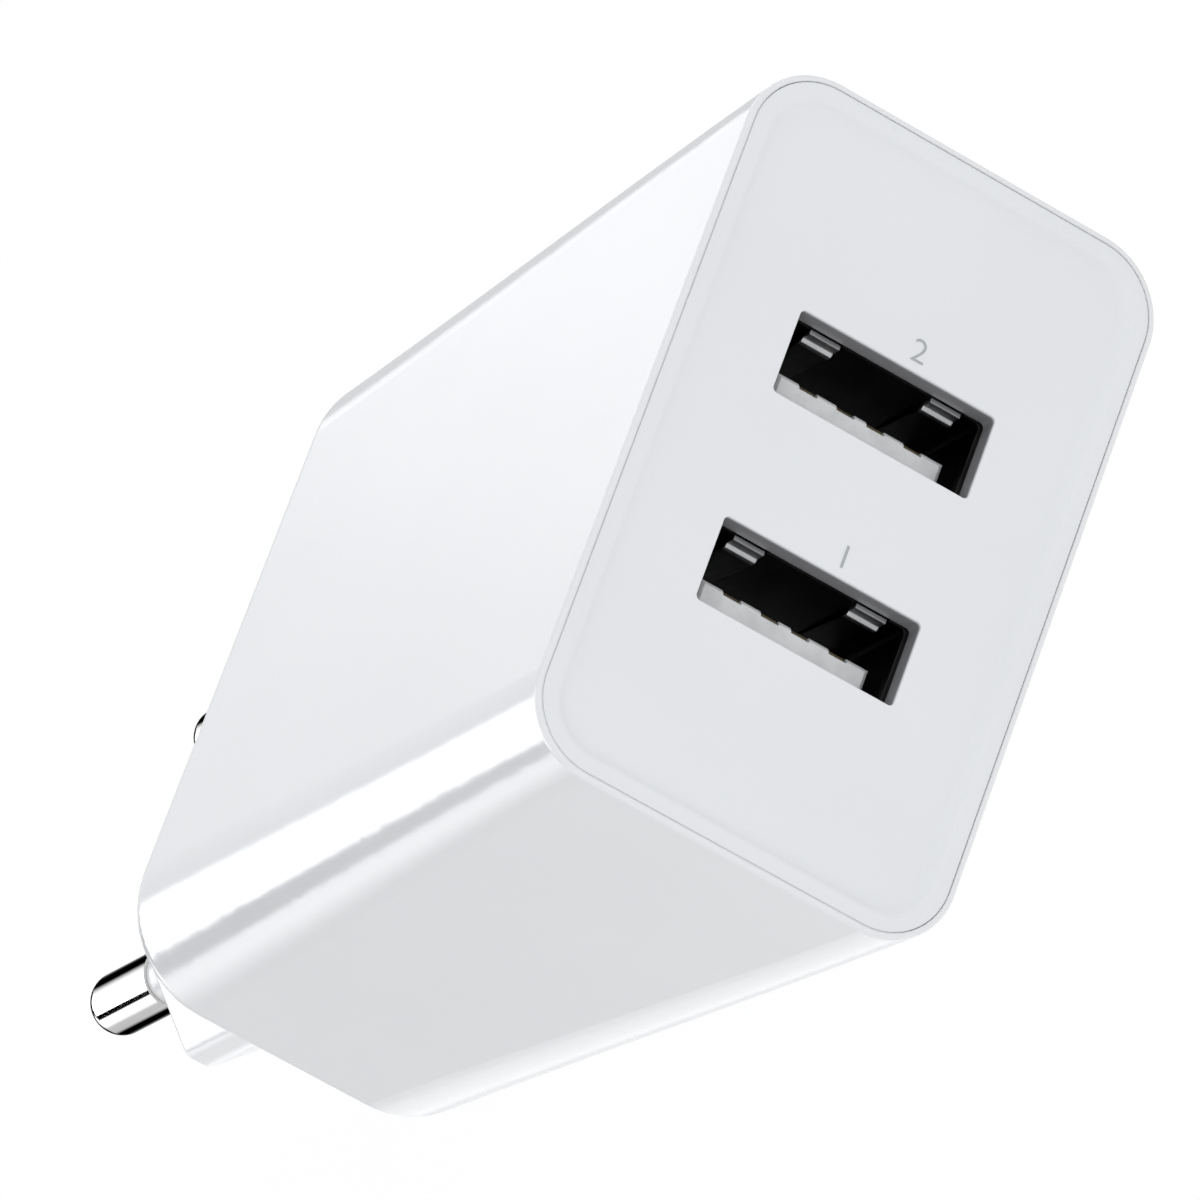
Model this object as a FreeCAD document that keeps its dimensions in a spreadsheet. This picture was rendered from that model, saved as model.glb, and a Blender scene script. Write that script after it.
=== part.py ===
import FreeCAD, Part
import os
from math import atan, degrees
from types import SimpleNamespace

import Sketcher
from FreeCAD import Placement, Rotation, Vector

# A two-port USB wall charger with a fixed flat plug for round-pin mains sockets.
# Row frame: the origin is the centre of the plug's engagement face, +Y runs along the pins into the
# socket, X runs through both pins (the ports stand side by side along it) and +Z points up from the
# broad side that the charger lies on. Lengths are in millimetres.

SIZES = {
    # housing
    "face_length": 45.0,
    "face_height": 27.2,
    "face_corner": 4.6,
    "rear_length": 43.2,
    "rear_height": 24.5,
    "rear_corner": 6.6,
    "rear_round": 2.2,
    "body_depth": 57.8,
    "wall": 1.9,
    "cavity_corner": 3.0,
    "rear_wall": 2.2,
    "lip": 0.4,
    "lip_round": 0.25,
    "rail_reach": 16.2,
    "rail_height": 0.9,
    "rail_depth": 42.0,
    "rail_root": 1.2,
    # front cover
    "cover_thickness": 1.8,
    "cover_gap": 0.03,
    "cover_round": 0.08,
    "rim_width": 1.15,
    "dish_slope": 0.85,
    "dish_depth": 0.4,
    "dish_top_round": 0.6,
    "dish_foot_round": 1.2,
    "skirt_gap": 0.3,
    "skirt_wall": 1.2,
    "skirt_depth": 3.0,
    "port_width": 13.0,
    "port_height": 5.3,
    "port_corner": 0.3,
    "port_edge_round": 0.1,
    "port_pitch": 13.4,
    "port_offset": -0.15,
    # plug
    "boss_height": 13.5,
    "plug_length": 36.0,
    "plug_width": 13.2,
    "plug_bevel": 5.8,
    "plug_tip_round": 1.0,
    "plug_side_round": 0.8,
    "plug_face_round": 0.4,
    "window_gap": 0.1,
    "flange_length": 37.2,
    "flange_height": 16.0,
    "flange_corner": 2.0,
    "flange_thickness": 1.5,
    "pin_spacing": 19.0,
    "pin_length": 19.0,
    "pin_radius": 2.0,
    "pin_tip_round": 1.5,
    "core_radius": 1.5,
    "tail_radius": 1.1,
    "tail_length": 2.0,
    "sleeve_radius": 1.8,
    "sleeve_length": 10.0,
    "sleeve_seat": 1.5,
    "fit_gap": 0.01,
    "slack": 0.05,
    # mains contacts
    "contact_width": 3.0,
    "contact_thickness": 0.4,
    "contact_top": 2.2,
    "contact_foot": 4.0,
    "contact_bend": 0.3,
    # circuit board
    "board_width": 34.5,
    "board_length": 47.5,
    "board_thickness": 1.2,
    "board_top": -6.9,
    "board_front": -67.0,
    "board_corner": 1.0,
    "barrier_slot": 1.6,
    "barrier_length": 9.0,
    "lead_radius": 0.3,
    "lead_hole_radius": 0.45,
    "lead_stub": 1.2,
    # USB receptacles
    "usb_width": 12.5,
    "usb_height": 5.12,
    "usb_depth": 14.0,
    "usb_sheet": 0.3,
    "usb_corner": 0.6,
    "spring_offset": 4.05,
    "spring_width": 2.0,
    "spring_slot_width": 2.2,
    "spring_root": 8.0,
    "spring_crest": 1.0,
    "spring_crest_dip": 0.46,
    "spring_step": 0.85,
    "spring_tip": 0.1,
    "spring_tip_dip": 0.23,
    "leg_width": 1.2,
    "leg_hole_radius": 0.8,
    "leg_front": 4.0,
    "leg_rear": 11.0,
    "tongue_width": 11.1,
    "tongue_thickness": 1.84,
    "tongue_low": -1.9,
    "tongue_front": 1.2,
    "tongue_round": 0.25,
    "base_front": 9.7,
    "base_rear": 13.6,
    "base_gap": 0.1,
    "blade_width": 1.0,
    "blade_thickness": 0.25,
    "blade_groove": 0.35,
    "blade_groove_width": 1.2,
    "blade_bump": 0.35,
    "blade_bump_length": 3.4,
    "blade_inner": 1.0,
    "blade_outer": 3.5,
    "blade_tail_step": 1.1,
    # transformer
    "core_x": 16.0,
    "core_y": 14.0,
    "core_z": 4.8,
    "core_leg": 2.1,
    "core_centre_leg": 4.0,
    "core_back": 1.9,
    "core_joint": 0.04,
    "transformer_y": -42.0,
    "transformer_z": -0.1,
    "bobbin_wall": 0.7,
    "bobbin_clearance": 0.1,
    "bobbin_flange_x": 11.4,
    "bobbin_flange_z": 12.8,
    "bobbin_flange": 0.8,
    "bobbin_length": 10.0,
    "terminal_reach": 2.2,
    "terminal_height": 2.0,
    "winding_x": 10.4,
    "winding_z": 11.8,
    "winding_corner": 2.0,
    "tape_thickness": 0.2,
    "tape_height": 4.0,
    "terminal_pitch": 3.6,
    # electrolytic capacitors
    "can_radius": 4.0,
    "input_can_height": 15.0,
    "output_can_height": 13.5,
    "can_stand": 0.3,
    "can_round": 0.6,
    "can_neck": 0.35,
    "can_neck_low": 1.2,
    "can_neck_high": 2.4,
    "can_lead_pitch": 3.5,
    "vent_depth": 0.15,
    "vent_length": 4.4,
    "vent_width": 0.4,
    "input_can_x": 4.5,
    "input_can_y": -28.5,
    "output_can_x": 12.1,
    "output_can_y": -51.5,
    # small through-hole pieces
    "disc_radius": 4.2,
    "disc_thickness": 3.6,
    "disc_edge": 1.2,
    "disc_x": 12.3,
    "disc_y": -41.0,
    "disc_z": -1.6,
    "disc_lead_pitch": 5.0,
    "fuse_radius": 1.6,
    "fuse_cap_radius": 1.85,
    "fuse_cap_length": 1.6,
    "fuse_length": 9.0,
    "fuse_reach": 6.0,
    "fuse_wire_radius": 0.35,
    "fuse_x": -12.8,
    "fuse_y": -29.0,
    "fuse_z": -4.6,
    "choke_radius": 3.4,
    "choke_neck": 1.7,
    "choke_flange": 1.2,
    "choke_height": 8.0,
    "choke_x": 12.6,
    "choke_y": -29.0,
    "choke_winding_radius": 2.9,
    "choke_lead_pitch": 4.0,
    # surface-mount pieces: body length, width and height
    "bridge_length": 4.7,
    "bridge_width": 3.9,
    "bridge_height": 2.3,
    "bridge_y": -22.6,
    "chip_length": 4.9,
    "chip_width": 3.9,
    "chip_height": 1.4,
    "chip_y": -37.5,
    "diode_length": 6.0,
    "diode_width": 3.8,
    "diode_height": 2.0,
    "diode_x": 10.5,
    "diode_y": -46.5,
    "port_chip_length": 2.9,
    "port_chip_width": 1.6,
    "port_chip_height": 1.1,
    "port_chip_y": -59.0,
    "package_stand": 0.1,
    "package_bevel": 0.2,
    "foot_reach": 1.0,
    "foot_width": 0.4,
    "foot_thickness": 0.2,
    "resistor_length": 1.6,
    "resistor_width": 0.8,
    "resistor_height": 0.45,
    "resistor_x": -3.0,
    "resistor_y": -48.0,
    "resistor_step_x": 2.8,
    "resistor_step_y": 1.8,
    "ceramic_length": 2.0,
    "ceramic_width": 1.25,
    "ceramic_height": 0.9,
    "ceramic_x": -14.0,
    "ceramic_y": -48.0,
    "ceramic_step_x": 3.2,
    "ceramic_step_y": 2.4,
    # insulation sheet on the housing floor
    "sheet_thickness": 0.25,
    "sheet_width": 30.0,
    "sheet_length": 44.0,
    "sheet_start": 7.0,
    "sheet_gap": 0.05,
}

# how close two coordinates are to count as one
NEAR = 1e-3
# origin plane of each sketch: its role, and the sign of its normal along the axis it faces
PLANES = {"XY": ("XY_Plane", 1), "XZ": ("XZ_Plane", -1), "YZ": ("YZ_Plane", 1)}


class Formula:
    """A sheet value or a sum or product of sheet values: its number and its expression text."""

    def __init__(self, number, text):
        self.number = number
        self.text = text

    def __add__(self, other):
        other = formula(other)
        return Formula(self.number + other.number, f"({self.text} + {other.text})")

    def __sub__(self, other):
        other = formula(other)
        return Formula(self.number - other.number, f"({self.text} - {other.text})")

    def __mul__(self, other):
        other = formula(other)
        return Formula(self.number * other.number, f"({self.text} * {other.text})")

    def __truediv__(self, other):
        other = formula(other)
        return Formula(self.number / other.number, f"({self.text} / {other.text})")

    def __neg__(self):
        return Formula(-self.number, f"(0 - {self.text})")

    __radd__ = __add__
    __rmul__ = __mul__


def formula(value):
    """A plain number becomes a formula, and a formula stays as it is."""
    if isinstance(value, Formula):
        return value
    return Formula(float(value), f"({float(value)})")


def make_sheet(document):
    """Writes the driving dimensions to the spreadsheet and returns them as formulas."""
    sheet = document.addObject("Spreadsheet::Sheet", "Sizes")
    for row, (alias, number) in enumerate(SIZES.items(), start=1):
        sheet.set(f"A{row}", alias)
        sheet.set(f"B{row}", str(number))
        sheet.setAlias(f"B{row}", alias)
    document.recompute()
    return SimpleNamespace(**{a: Formula(float(sheet.get(a)), f"Sizes.{a}") for a in SIZES})


def bind(item, path, value):
    """Ties one property of an object to the sheet."""
    item.setExpression(path, formula(value).text)


def new_body(name, x=0, y=0, z=0, turn=None):
    """An empty body with its label and its place in the row frame."""
    body = doc.addObject("PartDesign::Body", name)
    body.Label = name
    body.AllowCompound = True
    nodes.append(name)
    if turn is not None:
        body.Placement = Placement(Vector(), turn)
    for axis, value in zip("xyz", (x, y, z)):
        bind(body, f"Placement.Base.{axis}", value)
    return body


def new_sketch(body, plane, at=0):
    """A sketch parallel to one of the body's origin planes, at a coordinate along its normal axis."""
    role, sign = PLANES[plane]
    sketch = body.newObject("Sketcher::SketchObject", f"{body.Name}_sketch")
    sketch.AttachmentSupport = [(p, "") for p in body.Origin.OriginFeatures if p.Role == role]
    sketch.MapMode = "FlatFace"
    bind(sketch, "AttachmentOffset.Base.z", formula(at) * sign)
    return sketch, sign


def locate(sketch, geometry, point, u, v):
    """Holds one point of a sketch at (u, v) from the sketch origin."""
    for kind, axis, value in (("DistanceX", -2, formula(u)), ("DistanceY", -1, formula(v))):
        if value.number == 0:
            sketch.addConstraint(Sketcher.Constraint("PointOnObject", geometry, point, axis))
        else:
            dimension(sketch, value, kind, -1, 1, geometry, point)


def dimension(sketch, value, kind, *where):
    """Adds one dimension and ties it to the sheet."""
    value = formula(value)
    index = sketch.addConstraint(Sketcher.Constraint(kind, *where, value.number))
    bind(sketch, f"Constraints[{index}]", value)


def polygon(sketch, points):
    """A closed outline of straight lines through the given points."""
    points = [(formula(u), formula(v)) for u, v in points]
    first = sketch.GeometryCount
    count = len(points)
    for (u0, v0), (u1, v1) in zip(points, points[1:] + points[:1]):
        line = Part.LineSegment(Vector(u0.number, v0.number, 0), Vector(u1.number, v1.number, 0))
        sketch.addGeometry(line, False)
    for index, (u, v) in enumerate(points):
        before = first + (index - 1) % count
        sketch.addConstraint(Sketcher.Constraint("Coincident", before, 2, first + index, 1))
        locate(sketch, first + index, 1, u, v)


def rectangle(sketch, width, height, centre=(0, 0)):
    """An upright rectangle about a centre."""
    u, v = (formula(c) for c in centre)
    half_w, half_h = formula(width) / 2, formula(height) / 2
    polygon(sketch, [(u - half_w, v - half_h), (u + half_w, v - half_h),
                     (u + half_w, v + half_h), (u - half_w, v + half_h)])


def rounded_rectangle(sketch, width, height, radius, centre=(0, 0)):
    """An upright rectangle with round corners about a centre."""
    width, height, radius = formula(width), formula(height), formula(radius)
    u, v = (formula(c) for c in centre)
    reach_u = width.number / 2 - radius.number
    reach_v = height.number / 2 - radius.number
    quarter = degrees(atan(1)) * 2
    first = sketch.GeometryCount
    corners = [(1, -1), (1, 1), (-1, 1), (-1, -1)]
    for step, (side_u, side_v) in enumerate(corners):
        centre_point = Vector(u.number + side_u * reach_u, v.number + side_v * reach_v, 0)
        swing = Rotation(Vector(0, 0, 1), quarter * (step - 1))
        start = centre_point + swing.multVec(Vector(radius.number, 0, 0))
        last_u, last_v = corners[step - 1]
        last_centre = Vector(u.number + last_u * reach_u, v.number + last_v * reach_v, 0)
        line_start = last_centre + swing.multVec(Vector(radius.number, 0, 0))
        sketch.addGeometry(Part.LineSegment(line_start, start), False)
        circle = Part.Circle(centre_point, Vector(0, 0, 1), radius.number)
        turn = 2 * atan(1) * (step - 1)
        sketch.addGeometry(Part.ArcOfCircle(circle, turn, turn + 2 * atan(1)), False)
    for step in range(8):
        following = first + (step + 1) % 8
        sketch.addConstraint(Sketcher.Constraint("Tangent", first + step, 2, following, 1))
    for line, kind in ((0, "Horizontal"), (2, "Vertical"), (4, "Horizontal"), (6, "Vertical")):
        sketch.addConstraint(Sketcher.Constraint(kind, first + line))
    for arc in (3, 5, 7):
        sketch.addConstraint(Sketcher.Constraint("Equal", first + 1, first + arc))
    dimension(sketch, radius, "Radius", first + 1)
    dimension(sketch, width, "DistanceX", first + 6, 1, first + 2, 1)
    dimension(sketch, height, "DistanceY", first, 1, first + 4, 1)
    dimension(sketch, u - width / 2, "DistanceX", -1, 1, first + 6, 1)
    dimension(sketch, v - height / 2, "DistanceY", -1, 1, first, 1)


def circle_at(sketch, u, v, radius):
    """A full circle about (u, v)."""
    u, v, radius = formula(u), formula(v), formula(radius)
    circle = Part.Circle(Vector(u.number, v.number, 0), Vector(0, 0, 1), radius.number)
    index = sketch.addGeometry(circle, False)
    dimension(sketch, radius, "Radius", index)
    locate(sketch, index, 3, u, v)


def pad(body, sketch_and_sign, length, toward):
    """Grows a sketch by a length, toward +1 or -1 along the axis that its plane faces."""
    sketch, sign = sketch_and_sign
    feature = body.newObject("PartDesign::Pad", f"{body.Name}_pad")
    feature.Profile = sketch
    feature.Reversed = toward != sign
    bind(feature, "Length", length)
    doc.recompute()
    return feature


def pocket(body, sketch_and_sign, length, toward):
    """Cuts a sketch to a depth, toward +1 or -1 along its axis, and checks that it did cut."""
    sketch, sign = sketch_and_sign
    before = body.Shape.Volume
    feature = body.newObject("PartDesign::Pocket", f"{body.Name}_pocket")
    feature.Profile = sketch
    feature.Reversed = toward == sign
    bind(feature, "Length", length)
    doc.recompute()
    if body.Shape.Volume >= before:
        raise RuntimeError(f"a pocket in {body.Label} cut nothing")
    return feature


def revolve(body, sketch_and_sign):
    """Turns a sketch about its own vertical axis."""
    sketch = sketch_and_sign[0]
    feature = body.newObject("PartDesign::Revolution", f"{body.Name}_revolution")
    feature.Profile = sketch
    feature.ReferenceAxis = (sketch, ["V_Axis"])
    feature.Angle = 360
    doc.recompute()
    return feature


def soften(body, radius, chosen, kind="Fillet"):
    """Rounds or bevels the edges of the body's last feature that a test picks."""
    base = body.Tip
    names = [f"Edge{i}" for i, edge in enumerate(base.Shape.Edges, start=1) if chosen(edge)]
    if not names:
        raise RuntimeError(f"no edge to soften in {body.Label}")
    feature = body.newObject(f"PartDesign::{kind}", f"{body.Name}_{kind.lower()}")
    feature.Base = (base, names)
    bind(feature, "Radius" if kind == "Fillet" else "Size", radius)
    doc.recompute()
    if feature.Shape.isNull():
        raise RuntimeError(f"the {kind.lower()} in {body.Label} failed")
    return feature


def lies_at(edge, axis, place):
    """True where a whole edge lies in the plane at one coordinate."""
    return all(abs(getattr(point, axis) - place.number) < NEAR for point in along(edge))


def along(edge):
    """Points at the start, middle and end of an edge."""
    first, last = edge.FirstParameter, edge.LastParameter
    return [edge.valueAt(first), edge.valueAt((first + last) / 2), edge.valueAt(last)]


def runs_along(edge, axis):
    """True for a straight edge parallel to an axis."""
    start, *_, end = along(edge)
    others = [a for a in "xyz" if a != axis]
    return all(abs(getattr(end - start, a)) < NEAR for a in others)


def shell_blank():
    """Solid outer form of the housing: four drafted sides, with corners rounder at the rear."""
    block = doc.addObject("Part::Wedge", "shell_block")
    spans = {"Xmin": -s.face_length / 2, "Xmax": s.face_length / 2,
             "Zmin": -s.face_height / 2, "Zmax": s.face_height / 2,
             "X2min": -s.rear_length / 2, "X2max": s.rear_length / 2,
             "Z2min": -s.rear_height / 2, "Z2max": s.rear_height / 2,
             "Ymin": face_y, "Ymax": rear_y}
    for name, value in spans.items():
        bind(block, name, value)
    doc.recompute()
    corners = doc.addObject("Part::Fillet", "shell_corners")
    corners.Base = block
    corners.Edges = [corner_radii(index, edge) for index, edge in enumerate(block.Shape.Edges, 1)
                     if edge.BoundBox.YLength > s.wall.number]
    doc.recompute()
    rounded = doc.addObject("Part::Fillet", "shell_rounded")
    rounded.Base = corners
    radius = s.rear_round.number
    rounded.Edges = [(index, radius, radius) for index, edge in enumerate(corners.Shape.Edges, 1)
                     if lies_at(edge, "y", rear_y)]
    doc.recompute()
    return rounded


def corner_radii(index, edge):
    """Fillet entry of one long edge, from the face's corner radius to the rear's."""
    radii = (s.face_corner.number, s.rear_corner.number)
    if edge.valueAt(edge.FirstParameter).y > edge.valueAt(edge.LastParameter).y:
        radii = radii[::-1]
    return (index, *radii)


def main_shell():
    """One-piece housing: tapered walls, a rear wall with the plug's window, and the board rails."""
    blank = shell_blank()
    body = new_body("main_shell")
    body.BaseFeature = blank
    doc.recompute()
    cavity = body.newObject("PartDesign::SubtractiveWedge", "main_shell_cavity")
    spans = {"Xmin": s.wall - s.face_length / 2, "Xmax": s.face_length / 2 - s.wall,
             "Zmin": s.wall - s.face_height / 2, "Zmax": s.face_height / 2 - s.wall,
             "X2min": s.wall - s.rear_length / 2, "X2max": s.rear_length / 2 - s.wall,
             "Z2min": s.wall - s.rear_height / 2, "Z2max": s.rear_height / 2 - s.wall,
             "Ymin": face_y, "Ymax": rear_y - s.rear_wall}
    for name, value in spans.items():
        bind(cavity, name, value)
    doc.recompute()
    soften(body, s.cavity_corner, in_cavity)
    mouth = new_sketch(body, "XZ", face_y)
    rounded_rectangle(mouth[0], s.face_length - 2 * s.lip, s.face_height - 2 * s.lip,
                      s.face_corner - s.lip)
    pocket(body, mouth, s.cover_thickness, 1)
    window = new_sketch(body, "XZ", rear_y)
    plug_outline(window[0], s.window_gap)
    pocket(body, window, s.rear_wall + s.flange_thickness, -1)
    rail_end = rear_y - s.rear_wall - s.flange_thickness - s.slack
    root = s.rear_length / 2 - s.rail_root
    taper = (s.face_length - s.rear_length) / 2 / s.body_depth
    for low in (s.board_top + s.slack, s.board_top - s.board_thickness - s.slack - s.rail_height):
        rails = new_sketch(body, "XY", low)
        for side in (-1, 1):
            polygon(rails[0], [(side * s.rail_reach, rail_end),
                               (side * (root + (rear_y - rail_end) * taper), rail_end),
                               (side * (root + (rear_y - rail_end + s.rail_depth) * taper),
                                rail_end - s.rail_depth),
                               (side * s.rail_reach, rail_end - s.rail_depth)])
        pad(body, rails, s.rail_height, 1)
    outer = s.face_height / 2 - s.lip / 2
    soften(body, s.lip_round, lambda e: lies_at(e, "y", face_y) and outermost(e, outer))


def in_cavity(edge):
    """True for a lengthwise edge at a corner of the housing's hollow."""
    middle = edge.valueAt((edge.FirstParameter + edge.LastParameter) / 2)
    limit = s.face_height.number / 2 - s.wall.number
    return edge.BoundBox.YLength > s.rail_depth.number and abs(middle.z) < limit and at_corner(middle)


def at_corner(point):
    """True for a point near the straight lines through the hollow's four corners."""
    share = (point.y - face_y.number) / (rear_y - s.rear_wall - face_y).number
    half_x = s.face_length.number / 2 - s.wall.number
    half_x -= share * (s.face_length.number - s.rear_length.number) / 2
    return abs(abs(point.x) - half_x) < 1e-2


def outermost(edge, reach):
    """True for an edge of the front outline that lies on the outside of the lip."""
    middle = edge.valueAt((edge.FirstParameter + edge.LastParameter) / 2)
    corner_u = s.face_length.number / 2 - s.face_corner.number
    corner_v = s.face_height.number / 2 - s.face_corner.number
    over_u = max(abs(middle.x) - corner_u, 0)
    over_v = max(abs(middle.z) - corner_v, 0)
    return Vector(over_u, over_v, 0).Length > reach.number - corner_v


def plug_outline(sketch, margin):
    """Long octagon of the flat plug: straight broad sides and 45 degree ends to narrow tips."""
    tip_u = s.plug_length / 2 + margin
    side_v = s.plug_width / 2 + margin
    shoulder_u = s.plug_length / 2 - s.plug_bevel
    tip_v = s.plug_width / 2 - s.plug_bevel + margin
    polygon(sketch, [(-shoulder_u, -side_v), (shoulder_u, -side_v), (tip_u, -tip_v), (tip_u, tip_v),
                     (shoulder_u, side_v), (-shoulder_u, side_v), (-tip_u, tip_v), (-tip_u, -tip_v)])


def front_cover():
    """Front plate: flat rim, shallow dished field, two port openings and a skirt behind."""
    body = new_body("front_cover")
    edge = s.lip + s.cover_gap
    plate = new_sketch(body, "XZ", face_y)
    rounded_rectangle(plate[0], s.face_length - 2 * edge, s.face_height - 2 * edge,
                      s.face_corner - edge)
    pad(body, plate, s.cover_thickness, 1)
    dish = doc.addObject("PartDesign::Boolean", "front_cover_dish")
    body.addObject(dish)
    dish.Type = "Cut"
    dish.setObjects([dish_form()])
    doc.recompute()
    inside = s.face_height / 2 - s.rim_width + s.cover_gap
    soften(body, s.dish_top_round, lambda e: lies_at(e, "y", face_y) and not outermost(e, inside))
    soften(body, s.cover_round, lambda e: lies_at(e, "y", face_y) and outermost(e, inside))
    openings = new_sketch(body, "XZ", face_y)
    for port_x in ports.values():
        rounded_rectangle(openings[0], s.port_height, s.port_width, s.port_corner, (port_x, 0))
    pocket(body, openings, s.cover_thickness, 1)
    soften(body, s.port_edge_round,
           lambda e: lies_at(e, "y", face_y + s.dish_depth) and near_port(e))
    skirt = new_sketch(body, "XZ", face_y + s.cover_thickness)
    for inset in (0, s.skirt_wall):
        edge = s.wall + s.skirt_gap + inset
        rounded_rectangle(skirt[0], s.face_length - 2 * edge, s.face_height - 2 * edge,
                          s.cavity_corner + s.skirt_gap - inset)
    pad(body, skirt, s.skirt_depth, 1)


def dish_form():
    """Solid that scoops out the cover's dished field: upright outside, sloping at its foot."""
    body = doc.addObject("PartDesign::Body", "dish_form")
    outline = new_sketch(body, "XZ", face_y - s.dish_slope)
    rounded_rectangle(outline[0], s.face_length - 2 * s.rim_width,
                      s.face_height - 2 * s.rim_width, s.face_corner - s.rim_width)
    pad(body, outline, s.dish_slope + s.dish_depth, 1)
    floor = face_y + s.dish_depth
    slope = soften(body, s.dish_slope, lambda e: lies_at(e, "y", floor), "Chamfer")
    slope.ChamferType = "Two distances"
    bind(slope, "Size2", s.dish_depth)
    doc.recompute()
    soften(body, s.dish_foot_round, lambda e: lies_at(e, "y", floor))
    return body


def near_port(edge):
    """True for an edge on the outline of a port opening."""
    middle = edge.valueAt((edge.FirstParameter + edge.LastParameter) / 2)
    reach = s.port_height.number / 2 + s.port_corner.number
    inside = abs(middle.z) < s.port_width.number / 2 + s.port_corner.number
    return inside and any(abs(middle.x - x.number) < reach for x in ports.values())


def plug_carrier():
    """Flat plug body that stands out of the rear wall, with its inner flange and pin seats."""
    body = new_body("plug_carrier")
    outline = new_sketch(body, "XZ")
    plug_outline(outline[0], 0)
    pad(body, outline, s.boss_height + s.rear_wall, -1)
    tip = s.plug_length / 2
    soften(body, s.plug_tip_round, lambda e: runs_along(e, "y") and at_tip(e, tip))
    soften(body, s.plug_side_round, lambda e: runs_along(e, "y") and at_shoulder(e))
    soften(body, s.plug_face_round, lambda e: lies_at(e, "y", formula(0)))
    flange = new_sketch(body, "XZ", rear_y - s.rear_wall)
    rounded_rectangle(flange[0], s.flange_length, s.flange_height, s.flange_corner)
    pad(body, flange, s.flange_thickness, -1)
    bores = new_sketch(body, "XZ")
    seats = new_sketch(body, "XZ")
    for side in (-1, 1):
        circle_at(bores[0], side * s.pin_spacing / 2, 0, s.core_radius + s.fit_gap)
        circle_at(seats[0], side * s.pin_spacing / 2, 0, s.sleeve_radius + s.fit_gap)
    pocket(body, bores, s.boss_height + s.rear_wall + s.flange_thickness, -1)
    pocket(body, seats, s.sleeve_seat, -1)


def at_tip(edge, tip):
    """True for a lengthwise edge at a narrow end of the plug."""
    return abs(abs(edge.Vertexes[0].X) - tip.number) < 1e-3


def at_shoulder(edge):
    """True for a lengthwise edge where a broad side turns into its 45 degree end."""
    shoulder = s.plug_length.number / 2 - s.plug_bevel.number
    return abs(abs(edge.Vertexes[0].X) - shoulder) < 1e-3


def mains_pin(side_name, side):
    """Turned brass pin: domed bare tip, thinner core under the sleeve, and a tail inside."""
    body = new_body(f"mains_pin_{side_name}", x=side * s.pin_spacing / 2)
    inner_end = -(s.boss_height + s.rear_wall + s.flange_thickness)
    profile = new_sketch(body, "XY")
    polygon(profile[0], [(0, s.pin_length), (s.pin_radius, s.pin_length),
                         (s.pin_radius, s.sleeve_length), (s.core_radius, s.sleeve_length),
                         (s.core_radius, inner_end), (s.tail_radius, inner_end),
                         (s.tail_radius, inner_end - s.tail_length),
                         (0, inner_end - s.tail_length)])
    revolve(body, profile)
    soften(body, s.pin_tip_round, lambda e: lies_at(e, "y", s.pin_length))


def pin_sleeve(side_name, side):
    """Insulating sleeve over the root of a pin."""
    body = new_body(f"pin_sleeve_{side_name}", x=side * s.pin_spacing / 2)
    profile = new_sketch(body, "XY")
    inside = s.core_radius + s.fit_gap
    polygon(profile[0], [(inside, -s.sleeve_seat), (s.sleeve_radius, -s.sleeve_seat),
                         (s.sleeve_radius, s.sleeve_length - s.fit_gap),
                         (inside, s.sleeve_length - s.fit_gap)])
    revolve(body, profile)


def mains_contact(side_name, side):
    """Bent strip from a pin's tail down to its pad on the board."""
    base_y = -(s.boss_height + s.rear_wall + s.flange_thickness)
    body = new_body(f"mains_contact_{side_name}", x=side * s.pin_spacing / 2, y=base_y)
    front = -(s.contact_thickness + s.slack)
    foot = s.board_top + s.slack
    strip = new_sketch(body, "YZ", -(s.contact_width / 2))
    polygon(strip[0], [(-s.slack, s.contact_top), (front, s.contact_top),
                       (front, foot + s.contact_thickness),
                       (-s.contact_foot, foot + s.contact_thickness), (-s.contact_foot, foot),
                       (-s.slack, foot)])
    pad(body, strip, s.contact_width, 1)
    soften(body, s.contact_bend, lambda e: runs_along(e, "x") and at_bend(e, base_y, front, foot))
    eye = new_sketch(body, "XZ")
    circle_at(eye[0], 0, 0, s.tail_radius + s.fit_gap)
    pocket(body, eye, s.contact_foot, -1)


def at_bend(edge, base_y, front, foot):
    """True for an edge on either side of a mains contact's right-angled bend."""
    point = edge.Vertexes[0]
    outer = (-s.slack.number, foot.number)
    inner = (front.number, foot.number + s.contact_thickness.number)
    return any(abs(point.Y - y) + abs(point.Z - z) < 1e-3 for y, z in (outer, inner))


def lead_places():
    """Where leads of the through-hole pieces go through the board: x, y and hole radius."""
    places = []
    for can_x, can_y in (*input_cans.values(), *output_cans.values()):
        for side in (-1, 1):
            places.append((can_x + side * s.can_lead_pitch / 2, can_y, s.lead_hole_radius))
    for side in (-1, 1):
        places.append((s.disc_x, s.disc_y + side * s.disc_lead_pitch / 2, s.lead_hole_radius))
        places.append((s.fuse_x, s.fuse_y + side * s.fuse_reach, s.lead_hole_radius))
        places.append((s.choke_x + side * s.choke_lead_pitch / 2, s.choke_y, s.lead_hole_radius))
    places += [(x, y, s.lead_hole_radius) for x, y in terminal_places()]
    for port_x in ports.values():
        for side in (-1, 1):
            wall_x = port_x + side * (s.usb_height + s.usb_sheet) / 2
            for leg_y in (s.leg_front, s.leg_rear):
                places.append((wall_x, usb_y + leg_y, s.leg_hole_radius))
        for order in range(4):
            places.append((port_x + blade_level, usb_y + tail_y(order), s.lead_hole_radius))
    return places


def terminal_places():
    """Transformer terminals: three on the mains side and two on the output side."""
    reach = s.bobbin_length / 2 + s.terminal_reach / 2 + s.core_back
    rear = [(step * s.terminal_pitch, s.transformer_y + reach) for step in (-1, 0, 1)]
    front = [(step * s.terminal_pitch, s.transformer_y - reach) for step in (-1, 1)]
    return rear + front


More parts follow.
